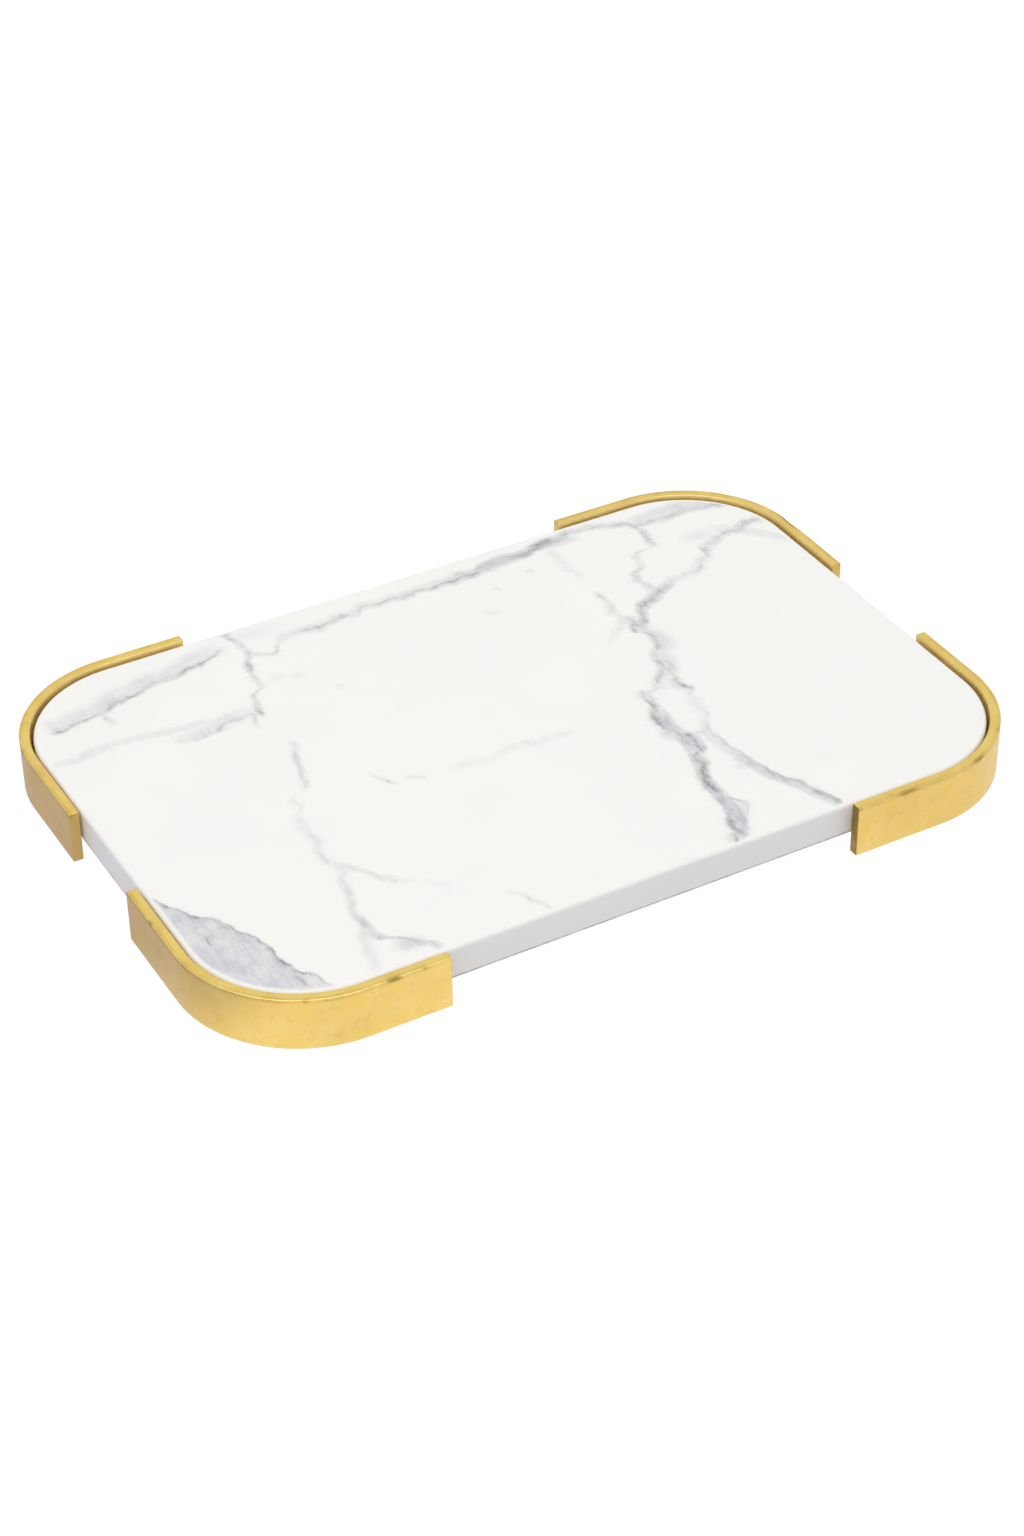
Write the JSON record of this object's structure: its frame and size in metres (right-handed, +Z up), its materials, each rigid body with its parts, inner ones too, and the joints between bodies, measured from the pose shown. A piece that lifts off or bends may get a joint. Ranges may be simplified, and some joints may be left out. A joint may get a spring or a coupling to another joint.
{
  "type": "vanity tray",
  "caption": "Rounded rectangular marble tray held at its corners by bent flat-bar brass brackets that rise just above the slab and lift it off the table.",
  "frame": {"origin": "centre of the footprint, on the surface that the rubber feet stand on", "axes": "+X along the long side, +Y to the back, +Z up, out of the slab's top"},
  "size_m": [0.4, 0.271, 0.026],
  "materials": {
    "marble": "honed white stone with soft grey-blue veins",
    "brass": "satin gold, slightly mottled, small dark nicks on the edges",
    "shelf_plate": "plain brass plate, brushed",
    "cushion_rubber": "matte sheet rubber",
    "foot_rubber": "matte moulded rubber",
    "screw_steel": "turned steel",
    "insert_brass": "turned brass"
  },
  "bodies": {
    "root": {"marble_slab": "marble", "front_left_bracket": "brass", "front_left_shelf": "shelf_plate", "front_left_cushion": "cushion_rubber", "front_left_foot": "foot_rubber", "front_right_bracket": "brass", "front_right_shelf": "shelf_plate", "front_right_cushion": "cushion_rubber", "front_right_foot": "foot_rubber", "rear_left_bracket": "brass", "rear_left_shelf": "shelf_plate", "rear_left_cushion": "cushion_rubber", "rear_left_foot": "foot_rubber", "rear_right_bracket": "brass", "rear_right_shelf": "shelf_plate", "rear_right_cushion": "cushion_rubber", "rear_right_foot": "foot_rubber", "shelf_screws": "screw_steel", "threaded_inserts": "insert_brass"}
  },
  "joints": []
}
